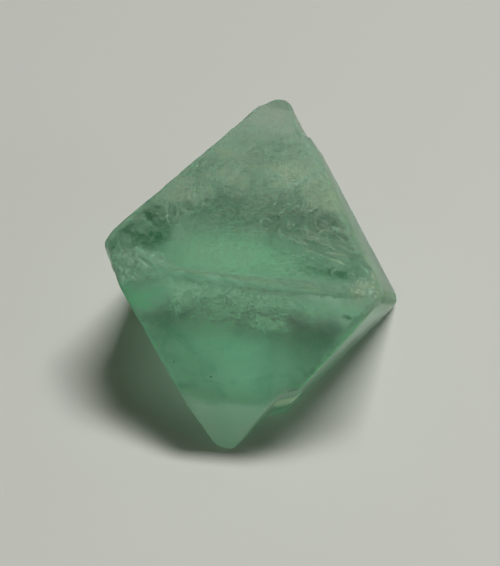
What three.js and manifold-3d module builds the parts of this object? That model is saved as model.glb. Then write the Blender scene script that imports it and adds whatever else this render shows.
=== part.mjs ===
// Cleaved fluorite octahedron.
//
// Fluorite splits along eight planes, the faces of a regular octahedron. The crystal is
// made here as it was made by hand: a rough block is split along those eight planes, then
// its corners and edges are blunted by wear and a few slabs are broken off. It is one
// crystal, so it is one solid. Millimetres, +Z up: the crystal lies on one face with the
// opposite face level on top, one top edge runs along X at the front (-Y), and the origin
// is under the middle of its bounding box, on the surface that it rests on.

import * as THREE from 'three';
import { mergeVertices } from 'three/addons/utils/BufferGeometryUtils.js';
import Module from 'manifold-3d';

// Driving dimensions.
const EDGE = 25;                             // octahedron edge, before wear
const FACE_DISTANCE = EDGE / Math.sqrt(6);   // from the centre to each face
const SIDE_SLOPE = 19.47;                    // degrees that each side face leans off vertical
const ROUGH_BLOCK = 60;                      // side of the block that is split

// Cleavage isn't perfectly flat, so each side face has its own turn and lean of a degree
// or two, and its own distance from the centre as a share of FACE_DISTANCE.
// Azimuth is where a face looks, in degrees from +X towards +Y. A positive rise looks up.
const FACES = {
  top: { azimuth: 0, rise: 90, share: 1 },
  bottom: { azimuth: 0, rise: -90, share: 1 },
  front: { azimuth: -90 + 2.9, rise: SIDE_SLOPE + 0.4, share: 1.058 },
  rightBack: { azimuth: 30 - 1.3, rise: SIDE_SLOPE + 0.8, share: 1.004 },
  leftBack: { azimuth: 150 - 0.5, rise: SIDE_SLOPE - 0.1, share: 1.029 },
  rightFront: { azimuth: -30 - 0.4, rise: -SIDE_SLOPE - 0.6, share: 0.963 },
  leftFront: { azimuth: -150 - 0.7, rise: -SIDE_SLOPE + 1.9, share: 0.943 },
  back: { azimuth: 90, rise: -SIDE_SLOPE, share: 0.996 },
};

// Six corners, each where four faces meet. Blunt is the distance from the centre at which
// the point is worn away. A sharp corner would stand at EDGE / sqrt(2), about 17.7 mm.
const CORNERS = {
  left: { faces: ['top', 'front', 'leftBack', 'leftFront'], blunt: 15.9 },
  right: { faces: ['top', 'front', 'rightBack', 'rightFront'], blunt: 16.2 },
  far: { faces: ['top', 'leftBack', 'rightBack', 'back'], blunt: 16.1 },
  near: { faces: ['bottom', 'front', 'leftFront', 'rightFront'], blunt: 15.3 },
  lowRight: { faces: ['bottom', 'rightBack', 'rightFront', 'back'], blunt: 16.8 },
  lowLeft: { faces: ['bottom', 'leftBack', 'leftFront', 'back'], blunt: 16 },
};
const CORNER_RIM_WEAR = 0.35;

// Twelve edges, each between two faces, with the depth worn off the sharp line.
const EDGES = [
  ['top', 'front', 0.24],
  ['top', 'leftBack', 0.14],
  ['top', 'rightBack', 0.12],
  ['front', 'leftFront', 0.12],
  ['front', 'rightFront', 0.16],
  ['leftBack', 'leftFront', 0.16],
  ['leftBack', 'back', 0.14],
  ['rightBack', 'rightFront', 0.18],
  ['rightBack', 'back', 0.12],
  ['bottom', 'leftFront', 0.12],
  ['bottom', 'rightFront', 0.12],
  ['bottom', 'back', 0.16],
];

// A plane is a unit normal and its distance from the crystal's centre.
function plane(azimuth, rise, distance) {
  const turn = THREE.MathUtils.degToRad(azimuth);
  const lift = THREE.MathUtils.degToRad(rise);
  const normal = new THREE.Vector3(
    Math.cos(lift) * Math.cos(turn),
    Math.cos(lift) * Math.sin(turn),
    Math.sin(lift),
  );
  return { normal, distance };
}

// The plane that wears the line between two planes down by a depth.
function wornEdge(one, other, depth) {
  const sum = one.normal.clone().add(other.normal);
  const length = sum.length();
  const distance = (one.distance + other.distance) / length - depth;
  return { normal: sum.divideScalar(length), distance };
}

// The same plane, moved inwards.
function inset(face, depth) {
  return { normal: face.normal, distance: face.distance - depth };
}

const wasm = await Module();
wasm.setup();

// A closed geometry as a solid that can be cut.
function toSolid(geometry) {
  const bare = geometry.clone();
  bare.deleteAttribute('normal');
  bare.deleteAttribute('uv');
  const merged = mergeVertices(bare, 1e-5);
  return new wasm.Manifold(new wasm.Mesh({
    numProp: 3,
    vertProperties: new Float32Array(merged.attributes.position.array),
    triVerts: new Uint32Array(merged.index.array),
  }));
}

// A cut solid back as a geometry, flat shaded.
function toGeometry(solid) {
  const mesh = solid.getMesh();
  const geometry = new THREE.BufferGeometry();
  const corners = new THREE.BufferAttribute(new Float32Array(mesh.vertProperties), 3);
  geometry.setAttribute('position', corners);
  geometry.setIndex(new THREE.BufferAttribute(new Uint32Array(mesh.triVerts), 1));
  const flat = geometry.toNonIndexed();
  flat.computeVertexNormals();
  return flat;
}

// All the space on the outer side of a plane, as a block larger than the crystal.
function beyond({ normal, distance }) {
  const size = 2 * ROUGH_BLOCK;
  const block = new THREE.BoxGeometry(size, size, size);
  block.translate(0, 0, size / 2 + distance);
  const up = new THREE.Vector3(0, 0, 1);
  block.applyQuaternion(new THREE.Quaternion().setFromUnitVectors(up, normal));
  return toSolid(block);
}

// Breaks off what lies beyond all the planes: one plane cleaves the crystal right across,
// two take a slab off one face as far as a step, and more take out a nick.
function breakOff(solid, ...planes) {
  const piece = planes.map(beyond).reduce((part, next) => part.intersect(next));
  return solid.subtract(piece);
}

let crystal = toSolid(new THREE.BoxGeometry(ROUGH_BLOCK, ROUGH_BLOCK, ROUGH_BLOCK));

// The eight cleavage faces.
const face = {};
for (const [name, { azimuth, rise, share }] of Object.entries(FACES)) {
  face[name] = plane(azimuth, rise, share * FACE_DISTANCE);
  crystal = breakOff(crystal, face[name]);
}

// The worn edges.
for (const [one, other, depth] of EDGES) {
  crystal = breakOff(crystal, wornEdge(face[one], face[other], depth));
}

// The blunted corners, each with a softened rim.
for (const { faces, blunt } of Object.values(CORNERS)) {
  const outward = new THREE.Vector3();
  faces.forEach((name) => outward.add(face[name].normal));
  const stub = { normal: outward.normalize(), distance: blunt };
  crystal = breakOff(crystal, stub);
  for (const name of faces) {
    crystal = breakOff(crystal, wornEdge(stub, face[name], CORNER_RIM_WEAR));
  }
}

// A bruise slants across the front edge by the left corner.
const BRUISE = plane(-114, 55, 13.8);
crystal = breakOff(crystal, BRUISE);

// The near corner has been knocked off further: an almost upright break stands below a
// level line across the front face.
const NEAR_BREAK = plane(-84, -4, 12.1);
crystal = breakOff(crystal, NEAR_BREAK);
for (const name of ['leftFront', 'rightFront', 'bottom']) {
  crystal = breakOff(crystal, wornEdge(NEAR_BREAK, face[name], 0.14));
}

// A thin slab has split off the right back face by the far corner, down to a low step.
const FAR_SLAB = 0.45;
const farStep = plane(104, 28, 11.8);
crystal = breakOff(crystal, inset(face.rightBack, FAR_SLAB), farStep);

// A thicker slab has broken off the right front face by the near corner, and its broken
// step slants out to the face.
const NEAR_SLAB = 1;
const nearStep = plane(-69, -23, 11);
crystal = breakOff(crystal, inset(face.rightFront, NEAR_SLAB), nearStep);

const shape = toGeometry(crystal);
shape.computeBoundingBox();
const middle = shape.boundingBox.getCenter(new THREE.Vector3());
shape.translate(-middle.x, -middle.y, -shape.boundingBox.min.z);

const fluorite = new THREE.MeshStandardMaterial({
  color: '#5f9c7c',
  roughness: 0.35,
  metalness: 0,
});
const octahedron = new THREE.Mesh(shape, fluorite);
octahedron.name = 'fluorite_octahedron';

const part = new THREE.Group();
part.add(octahedron);

export default part;
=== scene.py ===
"""A green fluorite crystal, cleaved into an octahedron, lying on one face on pale paper.

The crystal's size, faces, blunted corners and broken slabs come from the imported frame.
This script gives it its worn surface, its clear green inside, the cloudy veils and specks
sealed in it, and a plain soft-lit setting. Positions are in millimetres, turned into
metres by MM.
"""

import math

import bmesh
import bpy
from mathutils import Matrix, Vector, noise


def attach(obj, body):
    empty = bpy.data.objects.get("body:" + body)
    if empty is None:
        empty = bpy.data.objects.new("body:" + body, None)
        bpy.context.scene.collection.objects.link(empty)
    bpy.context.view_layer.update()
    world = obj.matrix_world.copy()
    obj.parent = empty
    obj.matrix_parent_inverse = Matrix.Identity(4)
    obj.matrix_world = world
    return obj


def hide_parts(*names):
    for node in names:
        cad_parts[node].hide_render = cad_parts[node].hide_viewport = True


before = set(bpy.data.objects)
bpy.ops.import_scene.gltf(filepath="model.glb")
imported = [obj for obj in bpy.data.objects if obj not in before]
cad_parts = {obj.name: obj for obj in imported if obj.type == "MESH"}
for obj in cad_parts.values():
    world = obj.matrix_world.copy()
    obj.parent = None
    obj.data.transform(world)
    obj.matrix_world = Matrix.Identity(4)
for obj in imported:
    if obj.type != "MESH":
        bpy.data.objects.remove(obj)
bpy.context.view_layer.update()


# ---------------------------------------------------------------------------------------
# Camera. It looks down on the crystal from in front, a little to the right, from about
# the distance at which a small specimen is held under a close-up lens.

MM = 0.001
CAMERA_AIM = Vector((-0.48, -0.68, 10.17)) * MM
CAMERA_DISTANCE = 156.3 * MM
CAMERA_AZIMUTH = math.radians(11.9)
CAMERA_ELEVATION = math.radians(52.4)
CAMERA_ROLL = math.radians(-1.5)

camera = bpy.data.objects.new("camera", bpy.data.cameras.new("camera"))
bpy.context.scene.collection.objects.link(camera)
camera.data.sensor_width = 36
camera.data.lens = 112
camera.data.clip_start = 10 * MM
turn = (
    Matrix.Rotation(CAMERA_AZIMUTH, 4, "Z")
    @ Matrix.Rotation(math.pi / 2 - CAMERA_ELEVATION, 4, "X")
    @ Matrix.Rotation(CAMERA_ROLL, 4, "Z")
)
backwards = turn @ Vector((0, 0, 1))
camera.matrix_world = Matrix.Translation(CAMERA_AIM + backwards * CAMERA_DISTANCE) @ turn
bpy.context.scene.camera = camera


# ---------------------------------------------------------------------------------------
# The crystal: one piece of fluorite, split along its eight cleavage planes. Its faces are
# almost flat and satin. Years of handling have rounded its corners and bruised its edges.

CELL = 0.185  # size of the fine mesh's cells, in mm
WHOLE_FACE_AREA = 60  # in square mm; worn edges, corners and breaks are smaller
FLAT_ANGLE = math.radians(0.3)  # triangles that bend less than this are one face

cad_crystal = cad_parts["fluorite_octahedron"]


def add_object(name, data):
    made = bpy.data.objects.new(name, data)
    bpy.context.scene.collection.objects.link(made)
    return made


def applied(thing):
    """The mesh of an object with its modifiers applied."""
    graph = bpy.context.evaluated_depsgraph_get()
    graph.update()
    mesh = bpy.data.meshes.new_from_object(thing.evaluated_get(graph))
    thing.modifiers.clear()
    thing.data = mesh
    return mesh


# The whole cleavage faces, as pairs of a normal and a distance in mm.
form = bmesh.new()
form.from_mesh(cad_crystal.data)
form.transform(Matrix.Scale(1 / MM, 4))
bmesh.ops.remove_doubles(form, verts=form.verts, dist=0.001)
bmesh.ops.dissolve_limit(form, angle_limit=FLAT_ANGLE, verts=form.verts, edges=form.edges)
cleavage = [
    (face.normal.copy(), face.normal.dot(face.verts[0].co))
    for face in form.faces
    if face.calc_area() > WHOLE_FACE_AREA
]
form.transform(Matrix.Scale(MM, 4))
rough_mesh = bpy.data.meshes.new("fluorite_crystal")
form.to_mesh(rough_mesh)
form.free()


def face_depths(point):
    """Depths of a point in mm below the eight cleavage planes, nearest first. The second
    is small along an edge, and the fourth at a corner, where four faces meet."""
    return sorted(distance - normal.dot(point) for normal, distance in cleavage)


# Fine cells laid back onto the flat faces.
crystal = add_object("fluorite_crystal", rough_mesh)
remesh = crystal.modifiers.new("fine cells", "REMESH")
remesh.mode = "VOXEL"
remesh.voxel_size = CELL * MM
wrap = crystal.modifiers.new("back onto the faces", "SHRINKWRAP")
wrap.target = cad_crystal
wrap.wrap_method = "NEAREST_SURFACEPOINT"
crystal_mesh = applied(crystal)

# Wear rounds the edges a little and the corners more. The edges of the breaks are found
# by how far the mesh bends there.
EDGE_BAND = 0.45
EDGE_PASSES = 10
CORNER_BAND = 2.0
CORNER_PASSES = 14
BENT = 0.98  # cosine between a face and its point's normal below which the mesh is bent
BENT_RINGS = 2

form = bmesh.new()
form.from_mesh(crystal_mesh)
form.transform(Matrix.Scale(1 / MM, 4))
form.normal_update()
depths = [face_depths(vertex.co) for vertex in form.verts]
bent = {v for v in form.verts if min(f.normal.dot(v.normal) for f in v.link_faces) < BENT}
for _ in range(BENT_RINGS):
    bent |= {edge.other_vert(v) for v in bent for edge in v.link_edges}
edge_verts = [v for v, depth in zip(form.verts, depths) if v in bent or depth[1] < EDGE_BAND]
corner_verts = [v for v, depth in zip(form.verts, depths) if depth[3] < CORNER_BAND]
for verts, passes in ((corner_verts, CORNER_PASSES), (edge_verts, EDGE_PASSES)):
    for _ in range(passes):
        bmesh.ops.smooth_vert(
            form, verts=verts, factor=0.5, use_axis_x=True, use_axis_y=True, use_axis_z=True
        )
form.normal_update()

# Small breaks: each is a centre, a half length along a direction, a radius and a depth.
SCARS = [
    (Vector((-7.8, -7.7, 20.3)), Vector((0.82, -0.57, 0)), 0.8, 0.13, 0.14),
    (Vector((3.75, -12.4, 8.8)), Vector((0, 0, 1)), 0.05, 0.22, 0.28),
    (Vector((10.7, 5.0, 7.2)), Vector((0, 0, 1)), 0.1, 0.4, 0.2),
    (Vector((-10.9, -7.5, 19.2)), Vector((0, 0.5, 1)), 0.15, 0.25, 0.12),
    (Vector((-10.3, -8.2, 18.6)), Vector((0, 0.3, 1)), 0.1, 0.2, 0.1),
]


def scar_push(point):
    """How far the scars press a point in, as a negative push in mm."""
    push = 0
    for centre, direction, half_length, radius, depth in SCARS:
        offset = point - centre
        if offset.length > half_length + 3 * radius:
            continue
        along = direction.normalized()
        run = min(max(offset.dot(along), -half_length), half_length)
        away = (offset - along * run).length
        push -= depth * math.exp(-((away / radius) ** 2))
    return push


# Sizes and heights of the wear, in mm: bites and fine chatter along the edges, and the
# slow swell of a cleavage face that isn't perfectly flat.
EDGE_REACH = 0.5
EDGE_LOSS = 0.02
BITE = 0.13
BITE_SIZE = 1.2
BITE_OCTAVES = 3
LEAST_BITE = -0.2
CHATTER = 0.03
CHATTER_SIZE = 0.45
SWELL = 0.018
SWELL_SIZE = 4.5
RIPPLE_SHARE = 0.35
RIPPLE_SIZE = 1.6
CORNER_REACH = 2.4
CORNER_FILL = 0.7  # gives back some of what the smoothing took off the corners
MOST_FILL = 0.5

# How worn the skin is, how far it is from an edge in mm, and how much it faces right.
LEAST_RIGHT = 0.3
RIGHT_RANGE = 0.4
skin_values = {"edge_wear": [], "edge_gap": [], "faces_right": []}
worn = []
for vertex in form.verts:
    point = vertex.co.copy()
    depth = face_depths(point)
    near_edge = math.exp(-((depth[1] / EDGE_REACH) ** 2))
    near_corner = min(max(CORNER_REACH - depth[3], 0), 1)
    bite = max(noise.fractal(point / BITE_SIZE, 1.0, 2.0, BITE_OCTAVES), LEAST_BITE)
    chatter = noise.noise(point / CHATTER_SIZE)
    swell = noise.noise(point / SWELL_SIZE) + RIPPLE_SHARE * noise.noise(point / RIPPLE_SIZE)
    push = CORNER_FILL * near_corner * min(depth[0], MOST_FILL)
    push -= near_edge * (BITE * bite + CHATTER * chatter + EDGE_LOSS)
    push += SWELL * swell + scar_push(point)
    worn.append(point + vertex.normal * push)
    skin_values["edge_wear"].append(near_edge)
    skin_values["edge_gap"].append(depth[1])
    facing = (vertex.normal.x - LEAST_RIGHT) / RIGHT_RANGE
    skin_values["faces_right"].append(min(max(facing, 0), 1))
for vertex, point in zip(form.verts, worn):
    vertex.co = point * MM
form.to_mesh(crystal_mesh)
form.free()
for name, values in skin_values.items():
    crystal_mesh.attributes.new(name, "FLOAT", "POINT").data.foreach_set("value", values)
crystal_mesh.shade_smooth()


def linear(code):
    """An sRGB hex colour as linear RGBA."""
    channels = [int(code[i : i + 2], 16) / 255 for i in (1, 3, 5)]
    lights = [c / 12.92 if c <= 0.04045 else ((c + 0.055) / 1.055) ** 2.4 for c in channels]
    return (*lights, 1.0)


def add_node(tree, kind, settings=None, **inputs):
    """Adds a node and returns its first output. An input is a value or a linked socket,
    and is named, or numbered as _0, _1 and so on."""
    node = tree.nodes.new(kind)
    for name, value in (settings or {}).items():
        setattr(node, name, value)
    for name, value in inputs.items():
        key = int(name[1:]) if name[0] == "_" else name.replace("_", " ")
        socket = node.inputs[key]
        if isinstance(value, bpy.types.NodeSocket):
            tree.links.new(value, socket)
        else:
            socket.default_value = value
    return node.outputs[0] if node.outputs else node


def new_material(name):
    made = bpy.data.materials.new(name)
    made.use_nodes = True
    made.node_tree.nodes.clear()
    return made, made.node_tree


def in_millimetres(tree):
    """Places in a piece's own space, in mm."""
    metres = add_node(tree, "ShaderNodeTexCoord").node.outputs["Object"]
    return add_node(tree, "ShaderNodeMapping", Vector=metres, Scale=(1 / MM, 1 / MM, 1 / MM))


def all_of(tree, *strengths):
    """Strong only where all are: their product."""
    product = strengths[0]
    for strength in strengths[1:]:
        product = add_node(
            tree, "ShaderNodeMath", {"operation": "MULTIPLY"}, _0=product, _1=strength
        )
    return product


def any_of(tree, *strengths):
    """Strong where any is: the strongest of them."""
    most = strengths[0]
    for strength in strengths[1:]:
        most = add_node(tree, "ShaderNodeMath", {"operation": "MAXIMUM"}, _0=most, _1=strength)
    return most


def plus(tree, base, extra, share=1.0):
    """A share of something extra added to a base."""
    settings = {"operation": "MULTIPLY_ADD"}
    return add_node(tree, "ShaderNodeMath", settings, _0=extra, _1=share, _2=base)


def fade(tree, value, start, end, low=0.0, high=1.0):
    """Low where the value is at start and high where it is at end, smooth between."""
    return add_node(
        tree,
        "ShaderNodeMapRange",
        {"interpolation_type": "SMOOTHSTEP"},
        Value=value,
        From_Min=start,
        From_Max=end,
        To_Min=low,
        To_Max=high,
    )


def cloud(tree, place, size, detail, roughness, distortion=0.0):
    """Noise from 0 to 1, whose patches are about size mm across."""
    return add_node(
        tree,
        "ShaderNodeTexNoise",
        Vector=place,
        Scale=1 / size,
        Detail=detail,
        Roughness=roughness,
        Distortion=distortion,
    )


def drawn_out(tree, place, factors, turn):
    """The space drawn out by factors along axes that are turned by some degrees."""
    return add_node(
        tree,
        "ShaderNodeMapping",
        {"vector_type": "TEXTURE"},
        Vector=place,
        Scale=factors,
        Rotation=tuple(math.radians(angle) for angle in turn),
    )


def patch(tree, place, centre, radii, core=0.3):
    """1 in the core of an egg-shaped space, fading to 0 at its radii, in mm. The core is
    a share of the radii."""
    scale = tuple(1 / radius for radius in radii)
    shift = tuple(-c / radius for c, radius in zip(centre, radii))
    moved = add_node(tree, "ShaderNodeMapping", Vector=place, Scale=scale, Location=shift)
    length = add_node(tree, "ShaderNodeVectorMath", {"operation": "LENGTH"}, _0=moved)
    return fade(tree, length.node.outputs["Value"], 1.0, core)


def patches(tree, place, *spots):
    """The strongest of several soft patches, each a centre, radii in mm and a strength."""
    return any_of(
        tree,
        *(
            all_of(tree, patch(tree, place, centre, radii, core=0.15), strength)
            for centre, radii, strength in spots
        ),
    )


def painted(tree, colour, *coats):
    """A colour with coats laid over it in turn, each a strength and a colour, which is a
    hex code or a linked socket. A Mix node's two colours are its inputs 6 and 7."""
    colour = linear(colour)
    for strength, coat in coats:
        coat = linear(coat) if isinstance(coat, str) else coat
        mix = add_node(
            tree, "ShaderNodeMix", {"data_type": "RGBA"}, _0=strength, _6=colour, _7=coat
        )
        colour = mix.node.outputs[2]
    return colour


# Fluorite, cleaved and worn: clear green inside, with a skin that is satin where it has
# been handled, milky where it is bruised or etched, and streaked by cleavage cracks.
cleaved, tree = new_material("cleaved fluorite")
place = in_millimetres(tree)
x, y, z = add_node(tree, "ShaderNodeSeparateXYZ", Vector=place).node.outputs
wear, gap, faces_right = (
    add_node(tree, "ShaderNodeAttribute", {"attribute_name": name}).node.outputs["Fac"]
    for name in skin_values
)

# The marks that the skin is made of, with their sizes in mm: soft drifts, fine mottling,
# grit, curls, wisps, and streaks and scratches drawn out along the cleavage.
soft = cloud(tree, place, size=2.4, detail=5, roughness=0.55, distortion=0.8)
fine = cloud(tree, place, size=0.75, detail=7, roughness=0.66, distortion=0.5)
grit = cloud(tree, place, size=0.2, detail=4, roughness=0.7)
mottle = all_of(
    tree, fade(tree, fine, 0.36, 0.64, 0.7, 1.3), fade(tree, grit, 0.36, 0.64, 0.5, 1.5)
)
grain = all_of(
    tree, fade(tree, fine, 0.6, 0.42, 0.15, 1.0), fade(tree, grit, 0.62, 0.4, 0.3, 1.0)
)
curl_field = cloud(tree, place, size=1.5, detail=6, roughness=0.6, distortion=2.2)
from_middle = plus(tree, curl_field, -0.5)
from_middle = add_node(tree, "ShaderNodeMath", {"operation": "ABSOLUTE"}, _0=from_middle)
curls = fade(tree, from_middle, 0.03, 0.0)
along = drawn_out(tree, place, (1.6, 1.0, 0.8), (0, 20, 0))
wisps = cloud(tree, along, size=1.5, detail=7, roughness=0.62, distortion=0.3)
along = drawn_out(tree, place, (2.0, 0.5, 1.0), (0, 0, -20))
streaks = cloud(tree, along, size=1.1, detail=7, roughness=0.7, distortion=0.6)
along = drawn_out(tree, place, (3.0, 0.4, 2.0), (0, 0, -35))
scratches = cloud(tree, along, size=0.8, detail=6, roughness=0.65, distortion=0.4)

# Patches have ragged, curling outlines, so most are measured in a warped space.
WARP = 4.4  # how far apart the warp moves places at most, in mm
RAGGED = 0.3  # the share of the warp that roughens the smaller outlines
warp_field = cloud(tree, place, size=1.8, detail=5, roughness=0.62, distortion=0.8)
warp = add_node(
    tree,
    "ShaderNodeVectorMath",
    {"operation": "MULTIPLY_ADD"},
    _0=warp_field.node.outputs["Color"],
    _1=(WARP, WARP, WARP),
    _2=(-WARP / 2, -WARP / 2, -WARP / 2),
)
warped = add_node(tree, "ShaderNodeVectorMath", {"operation": "ADD"}, _0=place, _1=warp)
warped_y = add_node(tree, "ShaderNodeSeparateXYZ", Vector=warped).node.outputs[1]
ragged = add_node(
    tree,
    "ShaderNodeVectorMath",
    {"operation": "MULTIPLY_ADD"},
    _0=warp,
    _1=(RAGGED, RAGGED, RAGGED),
    _2=place,
)

TOP = 20.4  # height of the top face
on_top = fade(tree, z, 19.8, 20.2)
frontward = fade(tree, y, -8.0, -8.8)
on_front = all_of(tree, frontward, fade(tree, z, 20.3, 19.9))
behind = all_of(tree, fade(tree, y, -6.0, -2.0), fade(tree, z, 19.8, 19.0))

# Milk in the skin of the top face: thickest at the far corner, thinner in drifts across
# the back half, curling where it ends, and almost none over the clear window in front.
# Pale streaks lie on the right.
drifts = patches(
    tree,
    warped,
    ((-0.2, 10.8, TOP), (3.6, 3.0, 4), 0.75),
    ((-3.2, 5.4, TOP), (3.4, 1.3, 4), 0.7),
    ((-2.4, 2.6, TOP), (2.9, 2.2, 4), 0.95),
    ((-6.2, -0.6, TOP), (4.2, 2.4, 4), 1.4),
    ((2.6, 3.6, TOP), (4.8, 3.2, 4), 1.35),
    ((5.8, 1.4, TOP), (3.4, 3.0, 4), 1.1),
)
back_milk = all_of(tree, fade(tree, warped_y, -2.6, 1.4), plus(tree, 0.25, drifts, 0.75))
milk_curls = all_of(
    tree, fade(tree, warped_y, -5.0, -2.4), curls, fade(tree, soft, 0.34, 0.5), 0.46
)
right_side = patch(tree, warped, (7.4, -3.6, TOP), (6.0, 4.4, 4.0), core=0.5)
right_streaks = all_of(tree, right_side, fade(tree, streaks, 0.44, 0.68), mottle, 0.36)
window_haze = plus(tree, 0.08, patch(tree, place, (-1.4, -5.9, TOP), (4.0, 2.2, 4.0)), 0.06)
top_milk = any_of(
    tree,
    all_of(tree, back_milk, mottle, 0.31),
    milk_curls,
    right_streaks,
    all_of(tree, window_haze, mottle),
)

# The bruise by the left corner is pale and scratched. The front edge is milky, and so is
# a strip below it that fades down the front face. A patch at its left end has a painted
# green glint in its milk and tint, for light caught by a crack just under the skin.
bruise = patch(tree, ragged, (-8.5, -8.0, 20.0), (4.2, 2.2, 2.8), core=0.45)
painted_green_glint = patch(tree, ragged, (-7.7, -9.5, 18.2), (2.9, 2.3, 2.2), core=0.45)
front_rim = all_of(
    tree,
    fade(tree, plus(tree, wear, fine, 1.1), 0.5, 1.2),
    fade(tree, y, -7.6, -8.3),
    fade(tree, z, 19.0, 19.7),
)
strip = all_of(
    tree,
    fade(tree, plus(tree, z, soft, 3.2), 17.8, 20.9),
    fade(tree, x, 9.5, 5.5, 0.5, 1.0),
    plus(tree, 1.0, painted_green_glint, -1.0),
)
front_drifts = patches(
    tree,
    place,
    ((5.6, -8.7, 18.7), (3.6, 2.0, 1.6), 0.16),
    ((-1.4, -9.7, 17.1), (6.4, 3.6, 3.0), 0.32),
    ((2.8, -9.7, 17.4), (5.6, 3.6, 3.2), 0.32),
    ((-3.6, -9.2, 18.6), (3.0, 2.0, 1.4), 0.16),
    ((-1.0, -11.0, 12.0), (5.0, 2.4, 3.0), 0.05),
)
front_milk = any_of(
    tree,
    all_of(tree, strip, mottle, 0.48),
    # Milk in the patch of painted green glint.
    all_of(tree, painted_green_glint, fade(tree, wisps, 0.3, 0.65, 0.1, 0.32)),
    all_of(tree, fade(tree, wisps, 0.42, 0.7), mottle, 0.13),
)

# Below a level line the near corner has broken off, and a chip is out of the edge beside
# it. The right corner and a band down the right edges are rubbed white.
near_break = all_of(
    tree, fade(tree, plus(tree, z, wisps, 2.4), 10.9, 9.3), fade(tree, y, -10.2, -11.0)
)
chip = patch(tree, ragged, (4.4, -9.6, 5.6), (2.2, 1.6, 2.4), core=0.45)
resting_edge = all_of(tree, fade(tree, z, 0.5, 0.2), fade(tree, y, -1.5, -3.5))
right_corner = patch(tree, ragged, (10.8, -7.8, 19.6), (3.4, 2.6, 2.6))
right_band = all_of(
    tree,
    fade(tree, plus(tree, gap, wisps, 2.4), 3.4, 1.9),
    faces_right,
    fade(tree, z, 4.0, 7.0),
    mottle,
)

milk = any_of(
    tree,
    all_of(tree, on_top, top_milk),
    all_of(tree, bruise, fade(tree, scratches, 0.36, 0.62, 0.5, 1.1), mottle, 0.42),
    all_of(tree, front_rim, fade(tree, wisps, 0.3, 0.65, 0.5, 0.95)),
    all_of(tree, on_front, front_milk),
    all_of(tree, front_drifts, fade(tree, wisps, 0.3, 0.68, 0.3, 1.15), mottle),
    all_of(tree, near_break, fade(tree, soft, 0.34, 0.6, 0.2, 1.2), mottle, 0.16),
    all_of(tree, chip, fade(tree, wisps, 0.36, 0.62, 0.3, 0.7)),
    all_of(tree, resting_edge, 0.4),
    all_of(tree, right_corner, mottle, 0.42),
    all_of(tree, right_band, fade(tree, fine, 0.36, 0.6, 0.5, 1.2), 0.36),
    all_of(tree, fade(tree, soft, 0.4, 0.75), mottle, 0.10),
    all_of(tree, behind, fade(tree, wisps, 0.35, 0.75), 0.12),
    all_of(tree, wear, fade(tree, fine, 0.38, 0.68, 0.05, 0.36)),
)

# Dark green on the top face, partly the clear crystal where the milk thins and partly
# painted shade of reflections inside it: a ragged band where the milk gives way to the
# window, clusters by the left corner, mottling behind, and the gaps between the streaks.
ragged_band = all_of(
    tree, fade(tree, warped_y, -3.6, -2.0), fade(tree, warped_y, 1.2, -1.2), grain, 0.62
)
shadows = patches(
    tree,
    ragged,
    ((0.7, 6.5, TOP), (4.2, 2.2, 4), 0.5),
    ((-5.9, 3.1, TOP), (2.4, 2.0, 4), 0.8),
    ((4.2, -1.4, TOP), (3.4, 1.6, 4), 0.5),
)
left_clusters = all_of(
    tree,
    patch(tree, place, (-8.3, -4.3, TOP), (3.0, 3.8, 4.0)),
    fade(tree, wisps, 0.64, 0.46),
    fade(tree, fine, 0.64, 0.44, 0.35, 1.1),
)
dark_top = any_of(
    tree,
    ragged_band,
    all_of(tree, shadows, fade(tree, grain, 0.0, 1.0, 0.2, 1.0)),
    left_clusters,
    all_of(tree, right_side, fade(tree, streaks, 0.54, 0.42), 0.45),
    all_of(tree, fade(tree, soft, 0.5, 0.3), grain, 0.4),
)
dark = any_of(
    tree,
    all_of(tree, on_top, dark_top),
    all_of(tree, bruise, fade(tree, scratches, 0.42, 0.34), 0.6),
)

# Bluer dark patches on the front face, partly painted shade like the dark green above, and
# the darkest spots, which lie over the milk.
front_shadows = patches(
    tree,
    ragged,
    ((-4.9, -9.9, 16.9), (2.3, 2.0, 1.5), 0.6),
    ((-6.2, -10.4, 15.2), (2.6, 2.4, 2.8), 0.45),
    ((7.6, -9.8, 15.2), (4.4, 3.4, 3.6), 0.42),
    ((1.5, -10.7, 13.6), (3.8, 3.0, 3.2), 0.18),
)
front_dark = any_of(
    tree,
    all_of(tree, front_shadows, fade(tree, fine, 0.62, 0.4, 0.45, 1.1)),
    all_of(tree, on_front, fade(tree, soft, 0.5, 0.3), 0.4),
)
dark_spots = patches(
    tree,
    ragged,
    ((9.6, -8.7, 18.1), (0.8, 1.0, 0.42), 1.0),
    ((7.4, -6.2, TOP), (3.4, 0.9, 4.0), 0.7),
    ((-8.3, -2.5, TOP), (1.5, 1.6, 4.0), 0.75),
    ((-7.5, -4.5, TOP), (1.6, 1.4, 4.0), 0.7),
    ((-10.2, -4.6, TOP), (1.2, 0.9, 4.0), 0.5),
)
dark_spots = all_of(tree, dark_spots, fade(tree, fine, 0.62, 0.4, 0.35, 1.2))
skin_specks = patches(
    tree,
    place,
    ((-1.72, -11.81, 11.1), (0.16, 0.3, 0.14), 1.0),
    ((-4.92, -11.57, 12.2), (0.13, 0.3, 0.12), 0.8),
    ((3.05, -12.0, 9.0), (0.2, 0.4, 0.2), 1.0),
    ((-10.8, -6.4, 20.1), (0.25, 0.2, 0.3), 0.7),
    ((-10.5, -7.4, 19.4), (0.2, 0.2, 0.25), 0.7),
)

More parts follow.
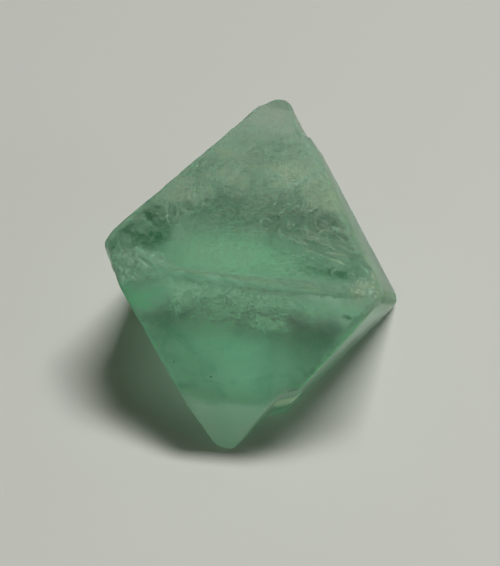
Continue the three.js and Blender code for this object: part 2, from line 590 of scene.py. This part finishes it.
# The colours, each coat over the one before it.
milk_colour = painted(
    tree,
    "#abd0b6",
    (fade(tree, soft, 0.35, 0.62), "#bbd1b1"),
    (fade(tree, y, 5.5, 9.5, 0.0, 0.8), "#c0c4ba"),
    # Painted light: lighter, greener milk on the front face, turned from the lamp.
    (frontward, "#b4f0c8"),
    # A painted green glint in the milk.
    (all_of(tree, on_front, painted_green_glint), "#9cf2c0"),
    (bruise, "#a3cdb0"),
    (front_rim, "#80b593"),
)
tint = painted(
    tree,
    "#e5f8ea",
    (frontward, "#d1e2d7"),
    # Dark green and bluer dark patches: partly painted shade.
    (all_of(tree, dark, 0.75), "#35795a"),
    (front_dark, "#3c9486"),
    # A painted green glint in the clear tint.
    (all_of(tree, on_front, painted_green_glint, 0.5), "#a4f2c6"),
    (fade(tree, milk, 0.04, 0.3), milk_colour),
    # Paler chip and near break: partly frosted breaks and partly painted light, as both lie in
    # shade.
    (chip, "#d2f2ce"),
    (all_of(tree, near_break, 0.9), "#f6fff8"),
    (dark_spots, "#34754f"),
    (skin_specks, "#2a4a38"),
)

# Rubbed and broken places are matt, and the bruised edges are the roughest to the touch.
matt_skin = any_of(
    tree,
    fade(tree, milk, 0.05, 0.4, 0.36, 0.55),
    fade(tree, wear, 0.03, 0.4, 0.3, 0.95),
    all_of(tree, chip, 0.8),
)
MIDDLE_HEIGHT = 0.65  # of fine mottling with grit on it
height = plus(tree, plus(tree, fine, grit, 0.3), -MIDDLE_HEIGHT)
height = all_of(tree, height, fade(tree, wear, 0.0, 0.5, 1.0, 2.5))
bumps = add_node(tree, "ShaderNodeBump", Strength=0.6, Distance=0.03 * MM, Height=height)

# Fluorite bends light by 1.434, and its green deepens with the thickness of the crystal.
surface = add_node(
    tree,
    "ShaderNodeBsdfPrincipled",
    Base_Color=tint,
    Roughness=matt_skin,
    IOR=1.434,
    Transmission_Weight=plus(tree, 0.97, milk, -1.0),
    Normal=bumps,
)
volume = add_node(tree, "ShaderNodeVolumeAbsorption", Color=linear("#3fe2b5"), Density=30.0)
add_node(tree, "ShaderNodeOutputMaterial", Surface=surface, Volume=volume)
crystal_mesh.materials.clear()
crystal_mesh.materials.append(cleaved)
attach(crystal, "root")
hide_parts("fluorite_octahedron")


# ---------------------------------------------------------------------------------------
# Veils sealed in the crystal: healed cracks, thin as paper and dusted with tiny bubbles,
# lying along the cleavage. They are torn-edged sheets, clear but for their cloudy drifts.

VEIL_CELLS = 28
VEIL_WAVE = 0.5  # height of its waves, in mm
VEIL_WAVE_SIZE = 3
THICKEST = 0.3  # how much of the light its cloudiest drifts stop

# A healed crack: matt white dust with no gloss of its own, thinning out to a torn rim.
veil_material, tree = new_material("cloudy veil")
place = in_millimetres(tree)
drift = cloud(tree, place, size=1.6, detail=7, roughness=0.65, distortion=1.6)
reach = add_node(tree, "ShaderNodeAttribute", {"attribute_name": "reach"}).node.outputs["Fac"]
cloudiness = fade(tree, plus(tree, drift, reach, -0.35), 0.3, 0.6)
surface = add_node(
    tree,
    "ShaderNodeBsdfPrincipled",
    Base_Color=linear("#d3e2cf"),
    Roughness=0.9,
    Specular_IOR_Level=0.0,
    Alpha=all_of(tree, cloudiness, THICKEST),
)
add_node(tree, "ShaderNodeOutputMaterial", Surface=surface)


def add_veil(name, centre, normal, half_sizes):
    """A gently waving sheet, with a reach that grows from 0 in the middle to 1 at its rim."""
    sheet = bmesh.new()
    bmesh.ops.create_grid(sheet, x_segments=VEIL_CELLS, y_segments=VEIL_CELLS, size=1)
    lie = Vector(normal).to_track_quat("Z", "X").to_matrix()
    reaches = []
    for vertex in sheet.verts:
        u, v = vertex.co.x, vertex.co.y
        reaches.append(math.hypot(u, v))
        flat = Vector((u * half_sizes[0], v * half_sizes[1], 0))
        flat.z = VEIL_WAVE * noise.noise(flat / VEIL_WAVE_SIZE + Vector(centre))
        vertex.co = (Vector(centre) + lie @ flat) * MM
    mesh = bpy.data.meshes.new(name)
    sheet.to_mesh(mesh)
    sheet.free()
    mesh.attributes.new("reach", "FLOAT", "POINT").data.foreach_set("value", reaches)
    mesh.shade_smooth()
    mesh.materials.append(veil_material)
    veil = add_object(name, mesh)
    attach(veil, "root")


add_veil("veil_back", (-1.0, 2.6, 18.6), (0.1, -0.25, 1), (5.0, 3.4))
add_veil("veil_left", (-5.6, -3.4, 17.6), (-0.4, -0.3, 1), (3.2, 3.0))
add_veil("veil_right", (4.6, -4.2, 17.2), (0.3, -0.5, 1), (4.4, 2.4))
add_veil("veil_low", (0.6, -3.0, 9.5), (0.1, -0.9, 0.35), (5.0, 4.0))


# ---------------------------------------------------------------------------------------
# Specks sealed in the crystal near its skin: rounded grains of dark mineral and pale
# bubbles, 0.1 to 0.3 mm across.

GRAIN_FORM = (1, 0.8, 0.7)  # a grain's length, width and height as shares of its radius

DARK_GRAINS = [
    (Vector((-1.8, -11.5, 11.1)), 0.10),
    (Vector((-5.0, -11.2, 12.2)), 0.08),
    (Vector((3.2, -11.4, 8.9)), 0.16),
    (Vector((2.2, -9.0, 17.2)), 0.07),
]
BUBBLES = [
    (Vector((-7.4, -4.2, 20.2)), 0.09),
    (Vector((-7.9, -5.6, 20.2)), 0.07),
    (Vector((-8.7, -3.6, 20.2)), 0.06),
    (Vector((5.8, 1.0, 20.1)), 0.07),
]


def add_specks(name, specks, colour):
    """Specks as one piece, each a centre and a radius in mm. They are satin, like wet
    grains or the walls of bubbles."""
    grains = bmesh.new()
    for centre, radius in specks:
        shape = Matrix.Translation(centre * MM) @ Matrix.Diagonal((*GRAIN_FORM, 1))
        bmesh.ops.create_icosphere(grains, subdivisions=2, radius=radius * MM, matrix=shape)
    mesh = bpy.data.meshes.new(name)
    grains.to_mesh(mesh)
    grains.free()
    mesh.shade_smooth()
    satin, tree = new_material(name.replace("_", " "))
    surface = add_node(
        tree, "ShaderNodeBsdfPrincipled", Base_Color=linear(colour), Roughness=0.7
    )
    add_node(tree, "ShaderNodeOutputMaterial", Surface=surface)
    mesh.materials.append(satin)
    piece = add_object(name, mesh)
    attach(piece, "root")


add_specks("dark_grains", DARK_GRAINS, "#23382c")
add_specks("bubbles", BUBBLES, "#dfe9dc")


# ---------------------------------------------------------------------------------------
# Setting: matt pale paper under the crystal, a broad soft light overhead, a weak one low
# on the right, and dim warm light from all round.

PAPER_HALF_SIZE = 0.6
PAPER_GAP = 0.03 * MM  # keeps the paper clear of the crystal's worn underside

paper_form = bmesh.new()
bmesh.ops.create_grid(paper_form, x_segments=1, y_segments=1, size=PAPER_HALF_SIZE)
bmesh.ops.translate(paper_form, verts=paper_form.verts, vec=(0, 0, -PAPER_GAP))
paper_mesh = bpy.data.meshes.new("paper")
paper_form.to_mesh(paper_mesh)
paper_form.free()
paper = add_object("paper", paper_mesh)
matt, tree = new_material("matt paper")
surface = add_node(
    tree, "ShaderNodeBsdfPrincipled", Base_Color=linear("#d9dbd4"), Roughness=0.9
)
add_node(tree, "ShaderNodeOutputMaterial", Surface=surface)
paper_mesh.materials.append(matt)

overhead = bpy.data.lights.new("overhead light", "AREA")
overhead.shape = "RECTANGLE"
overhead.size = 0.2
overhead.size_y = 0.11
overhead.energy = 2.66
lamp = add_object("overhead light", overhead)
lamp.location = (0.125, 0.014, 0.6)

low = bpy.data.lights.new("side light", "AREA")
low.shape = "DISK"
low.size = 0.2
low.energy = 0.1
lamp = add_object("side light", low)
lamp.location = (0.41, -0.15, 0.25)
lamp.rotation_euler = lamp.location.to_track_quat("Z", "Y").to_euler()

world = bpy.data.worlds.new("dim room")
world.use_nodes = True
room = world.node_tree.nodes["Background"]
room.inputs["Color"].default_value = linear("#fff0c5")
room.inputs["Strength"].default_value = 0.04
bpy.context.scene.world = world

# Light is followed through the crystal for long enough to come out again.
scene = bpy.context.scene
scene.view_settings.view_transform = "Standard"
scene.cycles.max_bounces = 24
scene.cycles.transmission_bounces = 24
scene.cycles.transparent_max_bounces = 24
scene.cycles.glossy_bounces = 12
scene.cycles.diffuse_bounces = 6
